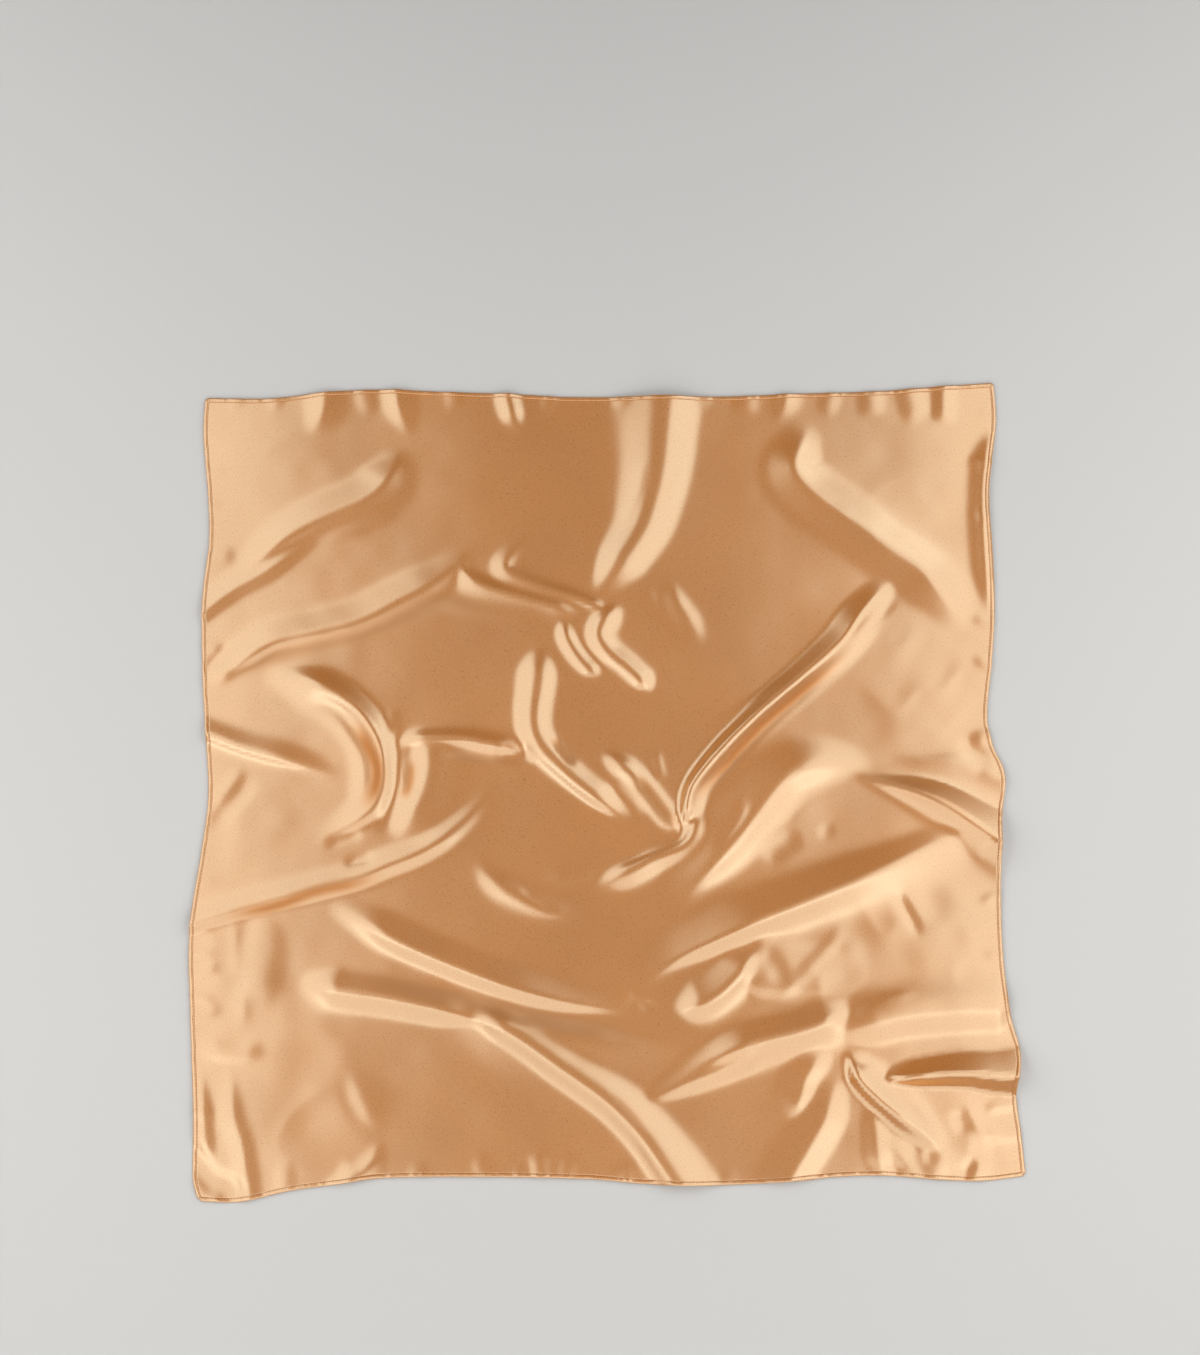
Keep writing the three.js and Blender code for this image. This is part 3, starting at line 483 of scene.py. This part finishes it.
def liftAt(x, y):
    # the height of the cloth's underside at places x and y, all in metres
    hx, hy = inHundredths(x, y)
    total = foldsLift(hx, hy) + spreadAt(hx, hy)
    total = total + sum(creaseLift(crease, hx, hy) for crease in creases)
    total = total + sum(crumpleLift(crumple, hx, hy) for crumple in crumples)
    for size, height, seed in clouds:
        total = total + height * (1 + cloudAt(hx, hy, size, seed))
    return 0.5 * (total + np.hypot(total, softest)) * millimetre


# grooves painted with shade and a warm bounced glow where satin faces satin: strength, width of a side,
# path
paintedShadeGrooves = [
    (1, 1, [(32, 16.6), (25, 10.7), (20, 6.4), (15, 0.9), (12.2, -2.2), (11.2, -4.6)]),
    (1, 1.5, [(-31, 7.4), (-28.9, 4), (-27.6, 1), (-28, -2), (-29.6, -4.4)]),
    (0.35, 1.4, [(-46, 12), (-40, 15.3), (-35, 16.8), (-30, 18.4), (-25, 20.2), (-20, 21.8),
                 (-13, 21)]),
    (0.9, 1.1, [(-47, -17.4), (-40, -16), (-35, -14.2), (-30, -13.1), (-26, -11.6)]),
    (0.8, 0.9, [(-23.8, 2.6), (-23.5, 0), (-24.4, -3)]),
    (0.8, 0.9, [(-5.8, 5.4), (-4.6, 3.2), (-3, 1.4)]),
    (0.9, 1, [(4.2, 0.6), (6.5, -2.5), (8, -4.5), (9.6, -6.4)]),
    (0.25, 1.6, [(31, 1.2), (35, 0), (39, -1.6), (44, -3.4), (48, -5)]),
    (0.5, 0.8, [(-19, 3), (-15, 2.5), (-11, 2.3)]),
    (0.5, 0.6, [(1, -38.6), (3, -40.4), (5.4, -43)]),
    (0.35, 1.4, [(-30, -25), (-25, -25.8), (-15, -27.9), (-5, -30.2), (5, -31.6)]),
]


# how much of the grooves' painted shade and warm bounced glow falls on each place
def paintedShadeAt(x, y):
    hx, hy = inHundredths(x, y)
    return np.clip(sum(creaseLift(groove, hx, hy) for groove in paintedShadeGrooves), 0, 1)


def placeMesh(name, points, faces, material):
    mesh = bpy.data.meshes.new(name)
    mesh.from_pydata(points, [], faces)
    mesh.materials.append(material)
    placed = bpy.data.objects.new(name, mesh)
    scene.collection.objects.link(placed)
    return placed


def meshPiece(name, points, faces, material, replaced=()):
    piece = placeMesh(name, points, faces, material)
    piece.data.shade_smooth()
    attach(piece, "root")
    if replaced:
        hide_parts(*replaced)
    return piece


class Socket:
    # one output of a shader node, with arithmetic that adds Math nodes
    def __init__(self, shader, output):
        self.shader = shader
        self.output = output

    def maths(self, operation, *values):
        return self.shader.add("ShaderNodeMath", {"operation": operation}, *values)

    def __add__(self, other):
        return self.maths("ADD", self, other)

    def __radd__(self, other):
        return self.maths("ADD", other, self)

    def __sub__(self, other):
        return self.maths("SUBTRACT", self, other)

    def __rsub__(self, other):
        return self.maths("SUBTRACT", other, self)

    def __mul__(self, other):
        return self.maths("MULTIPLY", self, other)

    def __rmul__(self, other):
        return self.maths("MULTIPLY", other, self)


class Shader:
    def __init__(self, name, **fixed):
        self.material = bpy.data.materials.new(name)
        self.material.use_nodes = True
        self.tree = self.material.node_tree
        self.surface = self.tree.nodes["Principled BSDF"]
        for socket, value in fixed.items():
            self.surface.inputs[socket].default_value = value

    def link(self, socket, value):
        if isinstance(value, Socket):
            self.tree.links.new(value.output, socket)
        else:
            socket.default_value = value

    def add(self, kind, settings, *values, pick=0, **named):
        node = self.tree.nodes.new(kind)
        for key, value in settings.items():
            setattr(node, key, value)
        for socket, value in zip(node.inputs, values):
            self.link(socket, value)
        for key, value in named.items():
            self.link(node.inputs[key.replace("_", " ")], value)
        return Socket(self, node.outputs[pick])

    def mix(self, factor, first, second):
        # a Mix node's factor is its socket 0, and its two colours are sockets 6 and 7
        node = self.tree.nodes.new("ShaderNodeMix")
        node.data_type = "RGBA"
        self.link(node.inputs[0], factor)
        self.link(node.inputs[6], first)
        self.link(node.inputs[7], second)
        return Socket(self, node.outputs[2])

    def feed(self, **sockets):
        for key, value in sockets.items():
            self.link(self.surface.inputs[key.replace("_", " ")], value)
        return self.material


# colours are linear
satinLook = {
    "colour": (0.715, 0.255, 0.0485, 1),
    "shade": (0.585, 0.2, 0.0355, 1),
    "gloss": (1, 0.95, 0.7, 1),
    "ior": 3.8,
    "roughness": 0.28,
    # the weave: its noise per metre, and the share of that along a thread, its bump in metres and
    # how much it adds to the roughness
    "grain": 2600,
    "thread": 0.25,
    "grainHeight": 0.0000025,
    "grainRoughness": 0.06,
    # how much of the weave and of a soft cloud goes into the mix of shade and colour
    "cloud": {"Scale": 11.0, "Detail": 3.0},
    "grainShare": 0.4,
    "cloudShare": 1.3,
    "offset": 0.35,
    # the grooves' painted shade and warm bounced glow: its colour, metal and roughness
    "paintedShadeColour": (0.56, 0.2, 0.037, 1),
    "paintedShadeMetal": 0.8,
    "paintedShadeRoughness": 0.36,
}


def satinMaterial():
    look = satinLook
    shader = Shader("satinGold", **{"IOR": look["ior"], "Specular Tint": look["gloss"]})
    place = shader.add("ShaderNodeTexCoord", {}, pick=3)
    threads = []
    for stretch in ((look["thread"], 1, 1), (1, look["thread"], 1)):
        along = shader.add("ShaderNodeMapping", {}, Vector=place, Scale=stretch)
        noise = shader.add("ShaderNodeTexNoise", {}, Vector=along, Scale=look["grain"], Detail=1.0)
        threads.append(noise)
    weave = (threads[0] + threads[1]) * 0.5
    cloud = shader.add("ShaderNodeTexNoise", {}, Vector=place, **look["cloud"])
    blend = weave * look["grainShare"] + cloud * look["cloudShare"] - look["offset"]
    # painted shade and a warm bounced glow in the grooves: the colour goes darker and warmer, the
    # reflections take its tint as metal and grow rougher
    paintedShade = shader.add("ShaderNodeAttribute", {"attribute_name": "paintedShade"}, pick=2)
    colour = shader.mix(paintedShade, shader.mix(blend, look["shade"], look["colour"]), look["paintedShadeColour"])
    bump = shader.add("ShaderNodeBump", {}, Height=weave, Distance=look["grainHeight"], Strength=1.0)
    smoothest = look["roughness"] - look["grainRoughness"] / 2
    roughness = weave * look["grainRoughness"] + paintedShade * look["paintedShadeRoughness"] + smoothest
    return shader.feed(
        Base_Color=colour, Metallic=paintedShade * look["paintedShadeMetal"], Normal=bump, Roughness=roughness)


threadLook = {
    "ior": 1.6,
    "roughness": 0.55,
    "grain": 1800.0,
    "dark": (0.36, 0.13, 0.035, 1),
    "light": (0.56, 0.23, 0.07, 1),
}


def threadMaterial():
    look = threadLook
    shader = Shader("thread", **{"IOR": look["ior"], "Roughness": look["roughness"]})
    place = shader.add("ShaderNodeTexCoord", {}, pick=3)
    grain = shader.add("ShaderNodeTexNoise", {}, Vector=place, Scale=look["grain"], Detail=1.0)
    return shader.feed(Base_Color=shader.mix(grain, look["dark"], look["light"]))


satin = satinMaterial()
thread = threadMaterial()
print("materials made")


def makePanel():
    # two skins of cells, closed round the rim
    n = scarf["cells"] + 1
    shares = np.linspace(scarf["inset"], 1 - scarf["inset"], n)
    across, along = (grid.ravel() for grid in np.meshgrid(shares, shares))
    x, y = placeAt(across, along)
    lift = liftAt(x, y)
    lower = np.column_stack([x - middleX, y - middleY, lift])
    upper = lower + (0, 0, scarf["cloth"])
    index = np.arange(n * n).reshape(n, n)
    a, b = index[:-1, :-1].ravel(), index[:-1, 1:].ravel()
    c, d = index[1:, 1:].ravel(), index[1:, :-1].ravel()
    rim = np.concatenate([index[0, :-1], index[:-1, -1], index[-1, :0:-1], index[:0:-1, 0]])
    after = np.roll(rim, -1)
    up = n * n
    faces = np.vstack([
        np.column_stack([a, b, c, d]) + up,
        np.column_stack([a, d, c, b]),
        np.column_stack([rim, after, after + up, rim + up])])
    points = np.vstack([lower, upper])
    piece = meshPiece("satinPanel", points.tolist(), faces.tolist(), satin, ["satin_panel"])
    # the grooves' painted shade and warm bounced glow, kept on each point for the satin's shader
    paintedShade = piece.data.attributes.new("paintedShade", "FLOAT", "POINT")
    paintedShade.data.foreach_set("value", np.tile(paintedShadeAt(x, y), 2))
    return piece


panel = makePanel()
print("panel made")

hemLook = {
    "width": 0.0034,
    "height": 0.0012,
    "steps": 700,
    "sides": 10,
    "square": 0.7,  # below one the roll's section gets squarer
    "pucker": 0.00022,  # how uneven the roll's height is
    "puckerSize": 0.55,  # and over what length, in hundredths
    "seed": 21,
}
stitchLook = {
    "every": 0.0026,
    "length": 0.0015,
    "width": 0.0003,
    "sides": 5,
    "inset": 0.78,  # share of the hem's width from the edge to the seam
    "seat": 0.75,  # share of the roll's height at which a stitch lies
    "ahead": 0.001,  # share of an edge over which its heading is taken
    # its rings: place along it as a share of the length, size and rise as shares of the width
    "rings": [(-0.5, 0.3, -0.6), (-0.25, 1, 0.5), (0.25, 1, 0.5), (0.5, 0.3, -0.6)],
}

# for each edge, a spot on the scarf from a share along the edge and a share in from it, and whether
# the hem's faces turn over there
hemSpots = {
    "Front": (lambda along, depth: placeAt(along, depth), False),
    "Back": (lambda along, depth: placeAt(along, 1 - depth), True),
    "Left": (lambda along, depth: placeAt(depth, along), True),
    "Right": (lambda along, depth: placeAt(1 - depth, along), False),
}


def hemTop(x, y, turns):
    # the roll's height over the cloth, a little uneven as in a sewn hem
    drawn = hemLook["pucker"] * cloudAt(*inHundredths(x, y), hemLook["puckerSize"], hemLook["seed"])
    return (hemLook["height"] + drawn) * (0.5 + 0.5 * np.sin(turns))


def makeHem(edge):
    spot, turnsOver = hemSpots[edge]
    steps, sides = hemLook["steps"], hemLook["sides"]
    depth = hemLook["width"] / scarf["side"]
    shares = np.linspace(depth * 0.5, 1 - depth * 0.5, steps + 1)
    angles = np.linspace(0, 2 * math.pi, sides, endpoint=False)
    runs, turns = (grid.ravel() for grid in np.meshgrid(shares, angles, indexing="ij"))
    across = np.sign(np.cos(turns)) * np.abs(np.cos(turns)) ** hemLook["square"]
    x, y = spot(runs, depth * (0.5 - 0.5 * across))
    z = liftAt(x, y) + hemTop(x, y, turns)
    points = np.column_stack([x - middleX, y - middleY, z])
    faces = []
    for i in range(steps):
        for k in range(sides):
            p, q = i * sides + k, i * sides + (k + 1) % sides
            faces.append((p, p + sides, q + sides, q) if turnsOver else (p, q, q + sides, p + sides))
    caps = [list(range(sides)), [steps * sides + k for k in range(sides)]]
    caps[1 if turnsOver else 0].reverse()
    return meshPiece("hem" + edge, points.tolist(), faces + caps, satin, ["hem_" + edge.lower()])


def makeStitches():
    # every stitch is a short bead that dips into the cloth at both ends
    look = stitchLook
    sides, rings, thick = look["sides"], look["rings"], look["width"]
    count = round(scarf["side"] / look["every"])
    depth = np.full(count, hemLook["width"] / scarf["side"] * look["inset"])
    shares = (np.arange(count) + 0.5) / count
    angles = np.linspace(0, 2 * math.pi, sides, endpoint=False)
    points, faces = [], []
    for spot, _ in hemSpots.values():
        x, y = spot(shares, depth)
        aheadX, aheadY = spot(shares + look["ahead"], depth)
        headings = np.arctan2(aheadY - y, aheadX - x)
        tops = liftAt(x, y) + hemTop(x, y, np.full(count, math.pi / 2)) * look["seat"]
        for px, py, pz, heading in zip(x - middleX, y - middleY, tops, headings):
            first = len(points)
            c, s = math.cos(heading), math.sin(heading)
            for run, size, rise in rings:
                ahead = run * look["length"]
                for angle in angles:
                    side = size * thick * math.cos(angle)
                    up = size * thick * math.sin(angle) + rise * thick
                    points.append((px + c * ahead - s * side, py + s * ahead + c * side, pz + up))
            for r in range(len(rings) - 1):
                for k in range(sides):
                    p, q = first + r * sides + k, first + r * sides + (k + 1) % sides
                    faces.append((p, p + sides, q + sides, q))
            last = first + (len(rings) - 1) * sides
            faces.append([first + k for k in range(sides)])
            faces.append([last + k for k in reversed(range(sides))])
    return meshPiece("hemStitches", points, faces, thread)


hems = [makeHem(edge) for edge in hemSpots]
stitches = makeStitches()
print("hems and stitches made")

floorLook = {
    "colour": (0.655, 0.653, 0.645, 1),
    "shade": (0.615, 0.613, 0.605, 1),
    "cloud": 3.0,
    "cloudShare": 0.1,
    "roughness": 0.75,
    "specular": 0.2,
    "reach": 6.0,
    "below": 0.0002,
}


def makeFloor():
    look = floorLook
    fixed = {"Roughness": look["roughness"], "Specular IOR Level": look["specular"]}
    shader = Shader("paleFloor", **fixed)
    place = shader.add("ShaderNodeTexCoord", {}, pick=3)
    cloud = shader.add("ShaderNodeTexNoise", {}, Vector=place, Scale=look["cloud"])
    shader.feed(Base_Color=shader.mix(cloud * look["cloudShare"], look["colour"], look["shade"]))
    r, z = look["reach"], -look["below"]
    corners = [(-r, -r, z), (r, -r, z), (r, r, z), (-r, r, z)]
    floor = placeMesh("floor", corners, [(0, 1, 2, 3)], shader.material)
    return floor


floor = makeFloor()

# soft boxes hang left, right and in front of the scarf, with two small ones beyond its back corners
# and a dim ceiling between them
lamps = {
    "softBoxLeft": {"at": (-0.917, 0.145, 0.73), "size": (1.28, 1.61), "turn": (0, -30), "power": 9.4},
    "softBoxRight": {"at": (0.897, 0.16, 0.73), "size": (1.28, 1.58), "turn": (0, 30), "power": 9.7},
    "softBoxBackLeft": {"at": (-0.84, 1.1, 0.775), "size": (0.6, 0.36), "turn": (0, -30), "power": 1.1},
    "softBoxBackRight": {"at": (0.74, 1.02, 0.83), "size": (0.3, 0.4), "turn": (0, 30), "power": 0.68},
    "softBoxFront": {"at": (0, -1.057, 0.85), "size": (2.3, 1.3), "turn": (46, 0), "power": 11.4},
    "ceiling": {"at": (0, 0.3, 2.2), "size": (1.2, 1.7), "turn": (0, 0), "power": 0.5},
}
lampColour = (1, 0.99, 0.975)
room = {"Color": (1, 0.98, 0.95, 1), "Strength": 0.04}


def makeLamps():
    for name, lamp in lamps.items():
        light = bpy.data.lights.new(name, "AREA")
        light.shape = "RECTANGLE"
        light.size, light.size_y = lamp["size"]
        light.energy = lamp["power"]
        light.color = lampColour
        holder = bpy.data.objects.new(name, light)
        holder.location = lamp["at"]
        holder.rotation_euler = (*map(math.radians, lamp["turn"]), 0)
        holder.visible_camera = False
        scene.collection.objects.link(holder)
    world = bpy.data.worlds.new("room")
    world.use_nodes = True
    for socket, value in room.items():
        world.node_tree.nodes["Background"].inputs[socket].default_value = value
    scene.world = world


makeLamps()

# the camera looks down at the scarf from its front edge's side, ten degrees off the vertical
view = {"tilt": math.radians(10), "distance": 2.2, "lens": 69.33, "sensor": 36, "aim": (0, 0.0853)}


def makeCamera():
    data = bpy.data.cameras.new("camera")
    data.sensor_width = view["sensor"]
    data.lens = view["lens"]
    camera = bpy.data.objects.new("camera", data)
    tilt, distance = view["tilt"], view["distance"]
    aimX, aimY = view["aim"][0] - middleX, view["aim"][1] - middleY
    camera.location = (aimX, aimY - distance * math.sin(tilt), distance * math.cos(tilt))
    camera.rotation_euler = (tilt, 0, 0)
    scene.collection.objects.link(camera)
    scene.camera = camera


makeCamera()
scene.view_settings.view_transform = "Standard"
print("floor, lamps and camera made")
